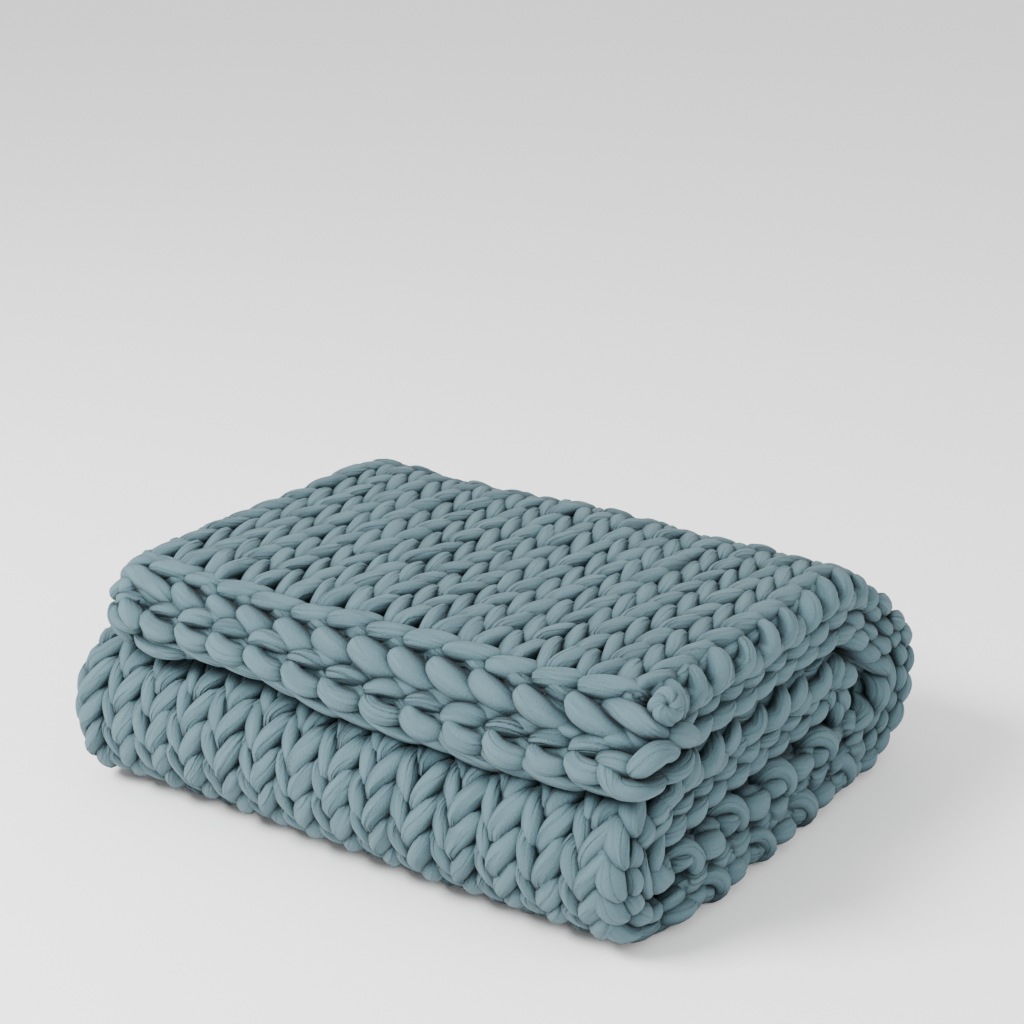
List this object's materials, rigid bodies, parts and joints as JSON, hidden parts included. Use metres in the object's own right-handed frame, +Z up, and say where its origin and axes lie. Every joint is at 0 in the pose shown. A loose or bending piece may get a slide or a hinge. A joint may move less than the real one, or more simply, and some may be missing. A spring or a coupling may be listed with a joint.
{
  "type": "weighted blanket",
  "caption": "Chunky hand-knitted weighted blanket in blue-grey jersey yarn, folded in half and rolled into a thick stack with a rounded back.",
  "frame": {"origin": "middle of the underside of the folded blanket, on the surface it rests on", "axes": "+X along the long side of the folded blanket, towards the end with its side edges; +Y from the open front hem towards the rounded back; +Z up"},
  "size_m": [0.6639, 0.543, 0.2406],
  "materials": {
    "cotton_jersey_yarn": "matt brushed cotton jersey"
  },
  "bodies": {
    "root": {"knit_blanket": "cotton_jersey_yarn"}
  },
  "joints": []
}
